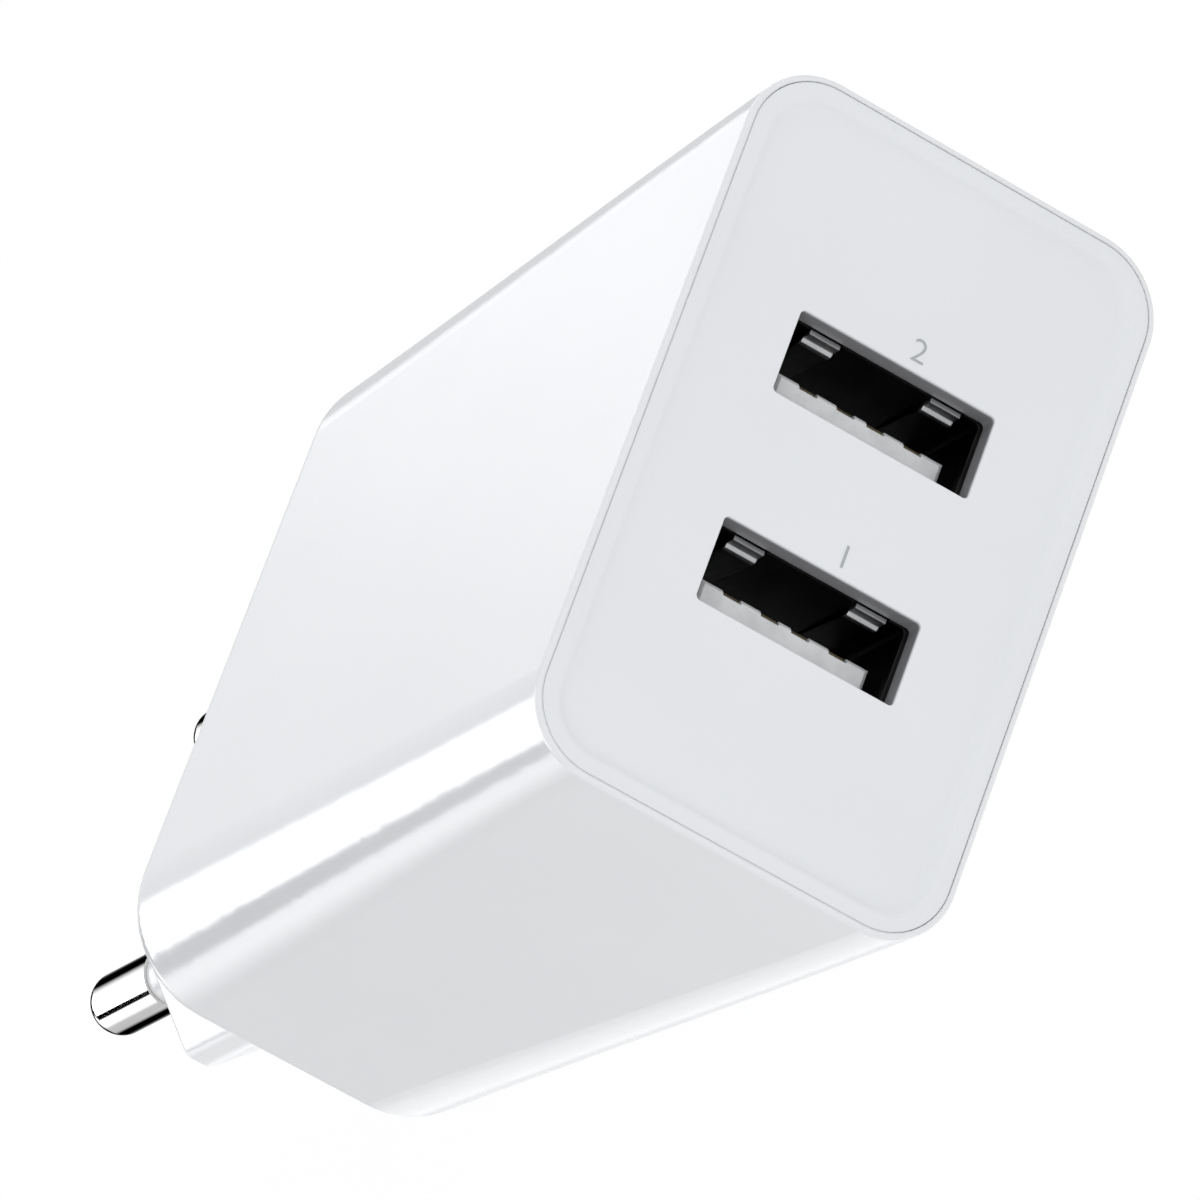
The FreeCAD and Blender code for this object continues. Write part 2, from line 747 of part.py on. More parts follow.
def tail_y(order):
    """How far behind the receptacle's mouth a blade's tail goes down to the board."""
    return s.usb_depth + s.blade_tail_step * (order + 1)


def main_board():
    """Circuit board: notched rear corners, milled isolation slot and drilled lead holes."""
    body = new_body("main_board", y=s.board_front, z=s.board_top - s.board_thickness)
    outline = new_sketch(body, "XY")
    rounded_rectangle(outline[0], s.board_width, s.board_length, s.board_corner,
                      (0, s.board_length / 2))
    pad(body, outline, s.board_thickness, 1)
    holes = new_sketch(body, "XY", s.board_thickness)
    for x, y, radius in lead_places():
        circle_at(holes[0], x, y - s.board_front, radius)
    for side in (-1, 1):
        middle = side * (s.board_width / 2 - s.barrier_length / 2)
        rectangle(holes[0], s.barrier_length, s.barrier_slot, (middle, s.disc_y - s.board_front))
    pocket(body, holes, s.board_thickness, -1)


def usb_shell(number, port_x):
    """Stamped receptacle shell: square tube with four spring tongues and four board legs."""
    body = new_body(f"usb_shell_{number}", x=port_x, y=usb_y)
    outer_x = s.usb_height + 2 * s.usb_sheet
    outer_z = s.usb_width + 2 * s.usb_sheet
    tube = new_sketch(body, "XZ")
    rounded_rectangle(tube[0], outer_x, outer_z, s.usb_corner)
    rounded_rectangle(tube[0], s.usb_height, s.usb_width, s.usb_corner - s.usb_sheet)
    pad(body, tube, s.usb_depth, 1)
    slots = new_sketch(body, "YZ", outer_x / 2)
    for side in (-1, 1):
        rectangle(slots[0], s.spring_root, s.spring_slot_width,
                  (s.spring_root / 2, side * s.spring_offset))
    pocket(body, slots, outer_x, -1)
    for side in (-1, 1):
        for wall in (-1, 1):
            spring_tongue(body, side * s.spring_offset, wall)
    for leg_y in (s.leg_front, s.leg_rear):
        legs = new_sketch(body, "XY", -s.usb_width / 2 + s.usb_corner)
        for wall in (-1, 1):
            rectangle(legs[0], s.usb_sheet, s.leg_width,
                      (wall * (s.usb_height + s.usb_sheet) / 2, leg_y))
        drop = -(s.board_top - s.board_thickness) - s.usb_width / 2 + s.usb_corner + s.lead_stub
        pad(body, legs, drop, -1)


def spring_tongue(body, z, wall):
    """One sprung tongue of a receptacle shell: it leans in to a crest and steps back at its tip."""
    face = s.usb_height / 2
    crest = face - s.spring_crest_dip
    tip = face - s.spring_tip_dip
    lag = s.usb_sheet / 2
    profile = new_sketch(body, "XY", z - s.spring_width / 2)
    polygon(profile[0], [(wall * face, s.spring_root), (wall * (face + s.usb_sheet), s.spring_root),
                         (wall * (crest + s.usb_sheet), s.spring_crest + lag),
                         (wall * (tip + s.usb_sheet), s.spring_step + lag),
                         (wall * (tip + s.usb_sheet), s.spring_tip), (wall * tip, s.spring_tip),
                         (wall * tip, s.spring_step), (wall * crest, s.spring_crest)])
    pad(body, profile, s.spring_width, 1)


def usb_insulator(number, port_x):
    """Moulded receptacle core: the tongue with four blade grooves and the block behind it."""
    body = new_body(f"usb_insulator_{number}", x=port_x, y=usb_y)
    block = new_sketch(body, "XZ", s.base_front)
    rectangle(block[0], s.usb_height - 2 * s.base_gap, s.usb_width - 2 * s.base_gap)
    pad(body, block, s.base_rear - s.base_front, 1)
    tongue = new_sketch(body, "XZ", s.tongue_front)
    rectangle(tongue[0], s.tongue_thickness, s.tongue_width,
              (s.tongue_low + s.tongue_thickness / 2, 0))
    pad(body, tongue, s.base_front - s.tongue_front, 1)
    soften(body, s.tongue_round, lambda e: lies_at(e, "y", s.tongue_front), "Chamfer")
    grooves = new_sketch(body, "XZ", s.tongue_front)
    middle = tongue_top - s.blade_groove / 2
    for blade_z in blades:
        rectangle(grooves[0], s.blade_groove, s.blade_groove_width, (middle, blade_z))
    pocket(body, grooves, s.base_rear - s.tongue_front, 1)


def usb_contacts(number, port_x):
    """Four sprung blades on the tongue, each with its tail down to the board."""
    body = new_body(f"usb_contacts_{number}", x=port_x, y=usb_y)
    low = tongue_top - s.blade_groove + s.slack / 2
    high = low + s.blade_thickness
    start = s.tongue_front + s.tongue_round
    for order, blade_z in enumerate(blades):
        end = tail_y(order) + s.lead_radius
        blade = new_sketch(body, "XY", blade_z - s.blade_width / 2)
        crest = start + s.blade_bump_length / 2
        settle = start + s.blade_bump_length
        polygon(blade[0], [(low, start), (high, start), (high + s.blade_bump, crest),
                           (high, settle), (high, end), (low, end), (low, settle),
                           (low + s.blade_bump, crest)])
        pad(body, blade, s.blade_width, 1)
        tail = new_sketch(body, "XY", blade_z)
        rectangle(tail[0], s.blade_thickness, 2 * s.lead_radius, (blade_level, tail_y(order)))
        drop = blade_z - (s.board_top - s.board_thickness) + s.lead_stub
        pad(body, tail, drop, -1)


def core_half(name, facing):
    """One ferrite E: a back with two outer legs and a thicker centre leg."""
    turn = Rotation(Vector(0, 0, 1), 0 if facing > 0 else 180)
    body = new_body(name, y=s.transformer_y, z=s.transformer_z, turn=turn)
    half = s.core_x / 2
    reach = s.core_y / 2
    window = reach - s.core_back
    meet = s.core_joint / 2
    leg = half - s.core_leg
    centre = s.core_centre_leg / 2
    profile = new_sketch(body, "XY", -(s.core_z / 2))
    polygon(profile[0], [(-half, meet), (-leg, meet), (-leg, window), (-centre, window),
                         (-centre, meet), (centre, meet), (centre, window), (leg, window),
                         (leg, meet), (half, meet), (half, reach), (-half, reach)])
    pad(body, profile, s.core_z, 1)


def transformer_bobbin():
    """Coil former: square tube with end flanges and the terminal rails under the core."""
    body = new_body("transformer_bobbin", y=s.transformer_y, z=s.transformer_z)
    hole_x = s.core_centre_leg + 2 * s.bobbin_clearance
    hole_z = s.core_z + 2 * s.bobbin_clearance
    tube = new_sketch(body, "XZ", -(s.bobbin_length / 2))
    rectangle(tube[0], hole_x + 2 * s.bobbin_wall, hole_z + 2 * s.bobbin_wall)
    rectangle(tube[0], hole_x, hole_z)
    pad(body, tube, s.bobbin_length, 1)
    for side in (-1, 1):
        outer_y = side * s.bobbin_length / 2
        flange = new_sketch(body, "XZ", outer_y)
        rectangle(flange[0], s.bobbin_flange_x, s.bobbin_flange_z)
        rectangle(flange[0], hole_x, hole_z)
        pad(body, flange, s.bobbin_flange, -side)
        rail = new_sketch(body, "XZ", outer_y)
        middle = -(s.bobbin_flange_z / 2) + s.terminal_height / 2
        rectangle(rail[0], s.bobbin_flange_x, s.terminal_height, (0, middle))
        pad(body, rail, s.core_back + s.terminal_reach, side)
        drills = new_sketch(body, "XY", -(s.bobbin_flange_z / 2) + s.terminal_height)
        for x, y in terminal_places():
            if (y.number > s.transformer_y.number) == (side > 0):
                circle_at(drills[0], x, y - s.transformer_y, s.lead_radius + s.fit_gap)
        pocket(body, drills, s.terminal_height, -1)


def transformer_winding():
    """Wound coil pack between the bobbin's flanges."""
    body = new_body("transformer_winding", y=s.transformer_y, z=s.transformer_z)
    length = s.bobbin_length - 2 * s.bobbin_flange - 2 * s.slack
    inside = 2 * (s.bobbin_clearance + s.bobbin_wall + s.slack)
    coil = new_sketch(body, "XZ", -(length / 2))
    rounded_rectangle(coil[0], s.winding_x, s.winding_z, s.winding_corner)
    rectangle(coil[0], s.core_centre_leg + inside, s.core_z + inside)
    pad(body, coil, length, 1)


def winding_tape():
    """Insulating tape wrapped round the coil pack."""
    body = new_body("winding_tape", y=s.transformer_y, z=s.transformer_z)
    length = s.bobbin_length - 2 * s.bobbin_flange - 4 * s.slack
    wrap = new_sketch(body, "XZ", -(length / 2))
    for out in (s.slack / 5, s.tape_thickness):
        rounded_rectangle(wrap[0], s.winding_x + 2 * out, s.winding_z + 2 * out,
                          s.winding_corner + out)
    pad(body, wrap, length, 1)


def core_tape():
    """Tape band that holds the two ferrite halves together."""
    body = new_body("core_tape", y=s.transformer_y, z=s.transformer_z)
    band = new_sketch(body, "XY", -(s.tape_height / 2))
    rectangle(band[0], s.core_x + s.slack, s.core_y + s.slack)
    thick = s.slack + 2 * s.tape_thickness
    rounded_rectangle(band[0], s.core_x + thick, s.core_y + thick, s.tape_thickness / 2)
    pad(body, band, s.tape_height, 1)


def transformer_pins():
    """The transformer's soldered terminals, five separate wires."""
    top = s.transformer_z - s.bobbin_flange_z / 2 + s.terminal_height
    body = new_body("transformer_pins", z=top)
    wires = new_sketch(body, "XY")
    for x, y in terminal_places():
        circle_at(wires[0], x, y, s.lead_radius)
    pad(body, wires, top - (s.board_top - s.board_thickness) + s.lead_stub, -1)


def electrolytic(name, place, height):
    """Radial capacitor: can with rolled neck and scored vent, on two leads."""
    body = new_body(name, x=place[0], y=place[1], z=s.board_top + s.can_stand)
    neck = s.can_radius - s.can_neck
    shoulder = (s.can_neck_low + s.can_neck_high) / 2
    profile = new_sketch(body, "XZ")
    polygon(profile[0], [(0, 0), (s.can_radius, 0), (s.can_radius, s.can_neck_low),
                         (neck, shoulder), (s.can_radius, s.can_neck_high),
                         (s.can_radius, height), (0, height)])
    revolve(body, profile)
    soften(body, s.can_round, lambda e: lies_at(e, "z", height) or lies_at(e, "z", formula(0)))
    for width, depth in ((s.vent_length, s.vent_width), (s.vent_width, s.vent_length)):
        vent = new_sketch(body, "XY", height)
        rectangle(vent[0], width, depth)
        pocket(body, vent, s.vent_depth, -1)
    add_leads(body, [(side * s.can_lead_pitch / 2, formula(0)) for side in (-1, 1)], formula(0),
              s.can_stand + s.board_thickness + s.lead_stub)


def add_leads(body, places, start, length):
    """Straight round leads going down from a height in the body's own frame."""
    wires = new_sketch(body, "XY", start)
    for x, y in places:
        circle_at(wires[0], x, y, s.lead_radius)
    pad(body, wires, length, -1)


def y_capacitor():
    """Disc capacitor that bridges the isolation slot, standing on two leads."""
    body = new_body("y_capacitor", x=s.disc_x, y=s.disc_y, z=s.disc_z,
                    turn=Rotation(Vector(0, 0, 1), 90))
    profile = new_sketch(body, "XY")
    half = s.disc_thickness / 2
    rim = s.disc_edge / 2
    shoulder = s.disc_radius - s.disc_edge
    polygon(profile[0], [(0, -half), (shoulder, -half), (s.disc_radius, -rim),
                         (s.disc_radius, rim), (shoulder, half), (0, half)])
    revolve(body, profile)
    soften(body, s.disc_edge / 2, lambda e: lies_at(e, "y", half) or lies_at(e, "y", -half))
    start = -(s.disc_radius / 2)
    length = start + s.disc_z - (s.board_top - s.board_thickness) + s.lead_stub
    add_leads(body, [(side * s.disc_lead_pitch / 2, formula(0)) for side in (-1, 1)], start, length)


def fuse_resistor():
    """Axial fusible resistor: coated body between end caps, with leads bent down to the board."""
    body = new_body("fuse_resistor", x=s.fuse_x, y=s.fuse_y, z=s.fuse_z)
    half = s.fuse_length / 2
    cap = half - s.fuse_cap_length
    end = s.fuse_reach + s.fuse_wire_radius
    profile = new_sketch(body, "XY")
    polygon(profile[0], [(0, -end), (s.fuse_wire_radius, -end), (s.fuse_wire_radius, -half),
                         (s.fuse_cap_radius, -half), (s.fuse_cap_radius, -cap),
                         (s.fuse_radius, -cap), (s.fuse_radius, cap), (s.fuse_cap_radius, cap),
                         (s.fuse_cap_radius, half), (s.fuse_wire_radius, half),
                         (s.fuse_wire_radius, end), (0, end)])
    revolve(body, profile)
    length = s.fuse_z - (s.board_top - s.board_thickness) + s.lead_stub
    add_leads(body, [(formula(0), side * s.fuse_reach) for side in (-1, 1)], formula(0), length)


def choke_core():
    """Ferrite drum of the mains filter choke, on its two leads."""
    body = new_body("choke_core", x=s.choke_x, y=s.choke_y, z=s.board_top + s.can_stand)
    upper = s.choke_height - s.choke_flange
    profile = new_sketch(body, "XZ")
    polygon(profile[0], [(0, 0), (s.choke_radius, 0), (s.choke_radius, s.choke_flange),
                         (s.choke_neck, s.choke_flange), (s.choke_neck, upper),
                         (s.choke_radius, upper), (s.choke_radius, s.choke_height),
                         (0, s.choke_height)])
    revolve(body, profile)
    add_leads(body, [(side * s.choke_lead_pitch / 2, formula(0)) for side in (-1, 1)], formula(0),
              s.can_stand + s.board_thickness + s.lead_stub)


def choke_winding():
    """Copper winding in the waist of the choke."""
    body = new_body("choke_winding", x=s.choke_x, y=s.choke_y, z=s.board_top + s.can_stand)
    inside = s.choke_neck + s.fit_gap
    low = s.choke_flange + s.slack
    high = s.choke_height - s.choke_flange - s.slack
    profile = new_sketch(body, "XZ")
    polygon(profile[0], [(inside, low), (s.choke_winding_radius, low),
                         (s.choke_winding_radius, high), (inside, high)])
    revolve(body, profile)


def chip_package(name, place, size, feet, under):
    """Moulded surface-mount package with flat feet, on top of or under the board."""
    length, width, height = size
    turn = Rotation(Vector(1, 0, 0), 180 if under else 0)
    level = s.board_top - s.board_thickness if under else s.board_top
    body = new_body(name, x=place[0], y=place[1], z=level, turn=turn)
    block = new_sketch(body, "XY", s.package_stand)
    rectangle(block[0], length, width)
    pad(body, block, height - s.package_stand, 1)
    soften(body, s.package_bevel, lambda e: lies_at(e, "z", height), "Chamfer")
    terminals = new_sketch(body, "XY", s.fit_gap)
    pitch = length / feet
    for order in range(feet):
        across = (order - (feet - 1) / 2) * pitch
        rectangle(terminals[0], s.foot_width, width + 2 * s.foot_reach, (across, 0))
    pad(body, terminals, s.foot_thickness, 1)


def chip_grid(name, first, size, step, columns, rows):
    """A group of identical chip parts soldered under the board, each its own solid."""
    length, width, height = size
    level = s.board_top - s.board_thickness - s.fit_gap
    body = new_body(name, x=first[0], y=first[1], z=level)
    chips = new_sketch(body, "XY")
    for column in range(columns):
        for row in range(rows):
            rectangle(chips[0], length, width, (column * step[0], row * step[1]))
    pad(body, chips, height, -1)


def insulation_sheet():
    """Thin sheet on the sloping floor of the housing, under the board's soldered side."""
    floor_rise = (s.face_height - s.rear_height) / 2
    slope = floor_rise / (s.body_depth - s.rear_wall)
    turn = Rotation(Vector(1, 0, 0), degrees(atan(slope.number)))
    floor_z = s.wall - s.face_height / 2 + slope * s.sheet_start + s.sheet_gap
    body = new_body("insulation_sheet", y=face_y + s.sheet_start, z=floor_z, turn=turn)
    outline = new_sketch(body, "XY")
    rounded_rectangle(outline[0], s.sheet_width, s.sheet_length, s.board_corner,
                      (0, s.sheet_length / 2))
    pad(body, outline, s.sheet_thickness, 1)


def build_all():
    """Every sub-part, from the housing inwards."""
    main_shell()
    front_cover()
    plug_carrier()
    for side_name, side in (("left", -1), ("right", 1)):
        mains_pin(side_name, side)
        pin_sleeve(side_name, side)
        mains_contact(side_name, side)
    main_board()
    for number, port_x in ports.items():
        usb_shell(number, port_x)
        usb_insulator(number, port_x)
        usb_contacts(number, port_x)
    core_half("core_half_rear", 1)
    core_half("core_half_front", -1)
    transformer_bobbin()
    transformer_winding()
    winding_tape()
    core_tape()
    transformer_pins()
    for name, place in input_cans.items():
        electrolytic(name, place, s.input_can_height)
    for name, place in output_cans.items():
        electrolytic(name, place, s.output_can_height)
    y_capacitor()
    fuse_resistor()
    choke_core()
    choke_winding()
    chip_package("bridge_rectifier", (0, s.bridge_y),
                 (s.bridge_length, s.bridge_width, s.bridge_height), 2, False)
    chip_package("primary_controller", (0, s.chip_y),
                 (s.chip_length, s.chip_width, s.chip_height), 4, True)
    chip_package("output_rectifier", (s.diode_x, s.diode_y),
                 (s.diode_length, s.diode_width, s.diode_height), 1, True)
    chip_package("port_controller", (0, s.port_chip_y),
                 (s.port_chip_length, s.port_chip_width, s.port_chip_height), 3, True)
    chip_grid("chip_resistors", (s.resistor_x, s.resistor_y),
              (s.resistor_length, s.resistor_width, s.resistor_height),
              (s.resistor_step_x, s.resistor_step_y), 2, 4)
    chip_grid("chip_capacitors", (s.ceramic_x, s.ceramic_y),
              (s.ceramic_length, s.ceramic_width, s.ceramic_height),
              (s.ceramic_step_x, s.ceramic_step_y), 2, 3)
    insulation_sheet()


def export_all(document):
    """Checks every object, then writes each sub-part to its own file."""
    document.recompute()
    for item in document.Objects:
        if "Invalid" in item.State or "Error" in item.State:
            raise RuntimeError(f"{item.Label} did not compute: {item.State}")
    bodies = [document.getObject(name) for name in nodes]
    for body in bodies:
        if body.Shape.isNull() or not body.Shape.isValid():
            raise RuntimeError(f"{body.Label} has no valid shape")
    os.makedirs("parts", exist_ok=True)
    for body in bodies:
        body.Shape.exportStep(f"parts/{body.Label}.step")
        print(f"{body.Label}: {len(body.Shape.Solids)} solid, {body.Shape.Volume:.1f} mm3")


doc = FreeCAD.newDocument("usb_wall_charger")
s = make_sheet(doc)
nodes = []

# places that several sub-parts share
rear_y = -s.boss_height
face_y = rear_y - s.body_depth
usb_y = face_y + s.cover_thickness + s.slack
ports = {1: s.port_offset - s.port_pitch / 2, 2: s.port_offset + s.port_pitch / 2}
tongue_top = s.tongue_low + s.tongue_thickness
blade_level = tongue_top - s.blade_groove + (s.slack + s.blade_thickness) / 2
blades = [-s.blade_outer, -s.blade_inner, s.blade_inner, s.blade_outer]
input_cans = {"input_capacitor_left": (-s.input_can_x, s.input_can_y),
              "input_capacitor_right": (s.input_can_x, s.input_can_y)}
output_cans = {"output_capacitor_left": (-s.output_can_x, s.output_can_y),
               "output_capacitor_right": (s.output_can_x, s.output_can_y)}

build_all()
export_all(doc)
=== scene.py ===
import math

import bpy
from mathutils import Matrix, Vector


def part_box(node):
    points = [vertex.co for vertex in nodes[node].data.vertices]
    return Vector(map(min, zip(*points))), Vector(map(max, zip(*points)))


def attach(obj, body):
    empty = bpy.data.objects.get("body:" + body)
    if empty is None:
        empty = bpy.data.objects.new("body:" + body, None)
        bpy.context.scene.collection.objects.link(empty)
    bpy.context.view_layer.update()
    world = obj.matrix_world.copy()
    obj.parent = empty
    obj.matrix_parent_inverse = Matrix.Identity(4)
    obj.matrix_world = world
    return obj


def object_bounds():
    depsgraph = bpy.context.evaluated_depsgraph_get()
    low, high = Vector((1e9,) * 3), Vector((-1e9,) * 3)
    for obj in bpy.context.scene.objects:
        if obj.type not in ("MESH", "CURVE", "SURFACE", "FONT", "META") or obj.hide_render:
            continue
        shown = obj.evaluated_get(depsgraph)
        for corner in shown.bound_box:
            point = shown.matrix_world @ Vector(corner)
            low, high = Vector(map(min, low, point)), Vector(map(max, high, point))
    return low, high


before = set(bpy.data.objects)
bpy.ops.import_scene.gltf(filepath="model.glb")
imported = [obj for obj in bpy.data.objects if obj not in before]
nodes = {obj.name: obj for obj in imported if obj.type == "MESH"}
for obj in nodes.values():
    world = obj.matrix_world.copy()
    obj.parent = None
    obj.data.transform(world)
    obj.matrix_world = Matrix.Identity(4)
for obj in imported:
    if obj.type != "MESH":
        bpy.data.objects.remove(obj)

MM = 0.001
LIP = 0.4 * MM  # the rim round the front cover stands this far before its face
cad_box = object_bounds()
scene = bpy.context.scene
scene.view_settings.view_transform = "Standard"
scene.view_settings.look = "None"


# ---------------------------------------------------------------- shader building


class Shader:
    """Builds one node tree: add() makes a node and fills its inputs with values or sockets."""

    def __init__(self, tree):
        self.tree = tree
        self.tree.nodes.clear()
        self.spots = {}

    def add(self, kind, settings=None, **inputs):
        node = self.tree.nodes.new(kind)
        for key, value in (settings or {}).items():
            setattr(node, key, value)
        for key, value in inputs.items():
            self.feed(node, key, value)
        return node

    def feed(self, node, key, value):
        if key.startswith("i") and key[1:].isdigit():
            socket = node.inputs[int(key[1:])]
        else:
            socket = node.inputs[key.replace("_", " ")]
        if isinstance(value, bpy.types.NodeSocket):
            self.tree.links.new(value, socket)
        else:
            socket.default_value = value

    def math(self, operation, a, b=0.0, c=0.0, clamp=False):
        node = self.add("ShaderNodeMath", {"operation": operation, "use_clamp": clamp},
                        i0=a, i1=b, i2=c)
        return node.outputs[0]

    def ramp(self, value, low, high, out_low=0.0, out_high=1.0):
        node = self.add("ShaderNodeMapRange", {"interpolation_type": "SMOOTHSTEP"}, Value=value,
                        From_Min=low, From_Max=high, To_Min=out_low, To_Max=out_high)
        return node.outputs[0]

    def blend(self, share, a, b):
        node = self.add("ShaderNodeMix", {"data_type": "RGBA"}, i0=share, i6=a, i7=b)
        return node.outputs[2]

    def places(self):
        """Object-space position, which is the row frame in metres."""
        if "places" not in self.spots:
            self.spots["places"] = self.add("ShaderNodeTexCoord").outputs["Object"]
        return self.spots["places"]

    def axis(self, letter):
        if "axes" not in self.spots:
            self.spots["axes"] = self.add("ShaderNodeSeparateXYZ", Vector=self.places())
        return self.spots["axes"].outputs["XYZ".index(letter)]

    def noise(self, scale, detail=2.0, roughness=0.5, stretch=(1, 1, 1)):
        spot = self.places()
        if stretch != (1, 1, 1):
            spot = self.add("ShaderNodeMapping", i0=spot, Scale=stretch).outputs[0]
        node = self.add("ShaderNodeTexNoise", Vector=spot, Scale=scale, Detail=detail,
                        Roughness=roughness)
        return node.outputs["Fac"]

    def bump(self, height, depth, normal=None):
        node = self.add("ShaderNodeBump", Height=height, Distance=depth, Strength=1.0)
        if normal is not None:
            self.feed(node, "Normal", normal)
        return node.outputs[0]

    def soft_edges(self, radius):
        """Normals rounded over the sharp edges of the solid."""
        return self.add("ShaderNodeBevel", {"samples": 6}, Radius=radius).outputs[0]


def rgb(r, g, b):
    return (r, g, b, 1.0)


def principled(name, build):
    """A material whose Principled shader is filled by build(shader), which returns its inputs."""
    made = bpy.data.materials.new(name)
    made.use_nodes = True
    shader = Shader(made.node_tree)
    surface = shader.add("ShaderNodeBsdfPrincipled", **build(shader))
    shader.add("ShaderNodeOutputMaterial", Surface=surface.outputs[0])
    return made


# ---------------------------------------------------------------- materials


def moulded_white(base, gloss, grain, edge, shaded=None):
    """Injection-moulded plastic: flow clouding, handling haze, fine orange peel and soft edges,
    with painted shade from shaded where it is given.
    """

    def build(s):
        cloud = s.noise(55.0, 3.0)
        dusk = tuple(c * 0.985 for c in base)
        colour = s.blend(s.ramp(cloud, 0.35, 0.7), rgb(*base), rgb(*dusk))
        speck = s.ramp(s.noise(2600.0, 1.0), 0.74, 0.79, 0.0, 0.04)
        colour = s.blend(speck, colour, rgb(*(c * 0.80 for c in base)))
        if shaded is not None:
            # painted shade: the colour goes to dark grey where shaded says the plastic lies in
            # shade
            colour = s.blend(shaded(s), colour, rgb(0.27, 0.27, 0.28))
        haze = s.noise(140.0, 4.0, 0.6, (1.0, 0.35, 1.0))
        rough = s.ramp(haze, 0.40, 0.75, gloss, gloss + 0.04)
        scuff = s.ramp(s.noise(900.0, 2.0, 0.5, (1.0, 0.05, 1.0)), 0.70, 0.80, 0.0, 0.012)
        rough = s.math("ADD", rough, scuff)
        rounded = s.soft_edges(edge)
        sharp = s.add("ShaderNodeVectorMath", {"operation": "DOT_PRODUCT"}, i0=rounded,
                      i1=s.add("ShaderNodeNewGeometry").outputs["Normal"]).outputs["Value"]
        rough = s.math("ADD", rough, s.ramp(sharp, 0.995, 0.90, 0.0, 0.10), clamp=True)
        peel = s.noise(1500.0, 2.0)
        skin = s.bump(peel, grain, rounded)
        return {"Base_Color": colour, "Roughness": rough, "Normal": skin, "IOR": 1.5,
                "Subsurface_Weight": 0.12, "Subsurface_Radius": (1.0, 0.9, 0.8),
                "Subsurface_Scale": 0.0006}

    return build


def painted_port_wall_shade(s):
    """Painted shade: where the cover's plastic lies down inside its two port openings, its colour
    goes dark grey.
    """
    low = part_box("front_cover")[0]
    lit, dark = 0.00045, 0.00075  # depths behind the rim between which the daylight fades
    half_x, half_z = 0.0110, 0.0068  # the area that holds both openings
    deep = s.ramp(s.axis("Y"), low.y + lit, low.y + dark)
    across = s.ramp(s.math("ABSOLUTE", s.axis("X")), 0.0112, half_x)
    along = s.ramp(s.math("ABSOLUTE", s.axis("Z")), 0.0070, half_z)
    return s.math("MULTIPLY", deep, s.math("MULTIPLY", across, along))


def nickel_pin(s):
    """Turned and nickel-plated brass: lathe rings, plugging-in scratches, and painted dark
    reflections that turn the glancing edges near black.
    """
    rings = s.add("ShaderNodeTexWave", {"wave_type": "BANDS", "bands_direction": "Y"},
                  Vector=s.places(), Scale=2600.0, Distortion=1.5, Detail=1.0).outputs["Fac"]
    draw = s.noise(5200.0, 2.0, 0.5, (1.0, 0.012, 1.0))
    colour = s.blend(s.ramp(s.noise(260.0, 3.0), 0.35, 0.75), rgb(0.82, 0.81, 0.80),
                     rgb(0.76, 0.74, 0.71))
    # painted reflection: the glancing sides are coloured near black, with dulled specular tint, for
    # the dark surroundings seen in the metal
    glance = s.add("ShaderNodeLayerWeight", Blend=0.5).outputs["Facing"]
    edge = s.ramp(glance, 0.62, 0.74)
    colour = s.blend(edge, colour, rgb(0.03, 0.03, 0.03))
    rough = s.ramp(draw, 0.40, 0.72, 0.05, 0.10)
    normal = s.bump(rings, 0.0000005)
    normal = s.bump(draw, 0.0000006, normal)
    return {"Base_Color": colour, "Metallic": 1.0, "Roughness": rough, "Normal": normal,
            "Specular_Tint": s.blend(edge, rgb(1.0, 1.0, 1.0), rgb(0.1, 0.1, 0.1))}


def port_steel(s):
    """Stamped steel with rolling lines: painted shade makes it near black in its depth, and painted
    highlights make it bright on the springs at the mouth.
    """
    set_back = 0.0012  # from the port's mouth to the front of its insulator
    spring_at = 0.00405  # from the port's middle to the middle of each spring
    spring_half = 0.00100
    lines = s.noise(4200.0, 2.0, 0.6, (1.0, 0.03, 1.0))
    patches = s.noise(420.0, 3.0)
    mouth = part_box("usb_insulator_1")[0].y - set_back
    # painted shade: dark is the steel's colour in the port's depth; painted highlight: bright is
    # its colour on the springs
    dark = s.blend(s.ramp(patches, 0.35, 0.7), rgb(0.030, 0.029, 0.028), rgb(0.018, 0.018, 0.018))
    bright = s.blend(s.ramp(patches, 0.35, 0.7), rgb(0.74, 0.74, 0.74), rgb(0.62, 0.62, 0.63))
    # painted highlight on the springs near the port's mouth, fading with depth
    spring_highlight = s.ramp(s.axis("Y"), mouth + 0.0016, mouth + 0.0011)
    off = s.math("SUBTRACT", s.math("ABSOLUTE", s.axis("Z")), spring_at)
    off = s.math("ABSOLUTE", off)
    spring_highlight = s.math("MULTIPLY", spring_highlight, s.ramp(off, 0.00105, spring_half))
    colour = s.blend(spring_highlight, dark, bright)
    rough = s.ramp(lines, 0.35, 0.7, 0.30, 0.36)
    normal = s.bump(lines, 0.0000004, s.soft_edges(0.00008))
    return {"Base_Color": colour, "Metallic": 1.0, "Roughness": rough, "Normal": normal}


def port_core(s):
    """Glass-filled moulding of the port tongues: pale, matt and slightly mottled."""
    mottle = s.noise(900.0, 3.0)
    colour = s.blend(s.ramp(mottle, 0.35, 0.7), rgb(0.80, 0.81, 0.82), rgb(0.71, 0.72, 0.73))
    normal = s.bump(s.noise(5200.0, 2.0), 0.000006, s.soft_edges(0.00012))
    return {"Base_Color": colour, "Roughness": s.ramp(mottle, 0.3, 0.7, 0.35, 0.5),
            "Normal": normal}


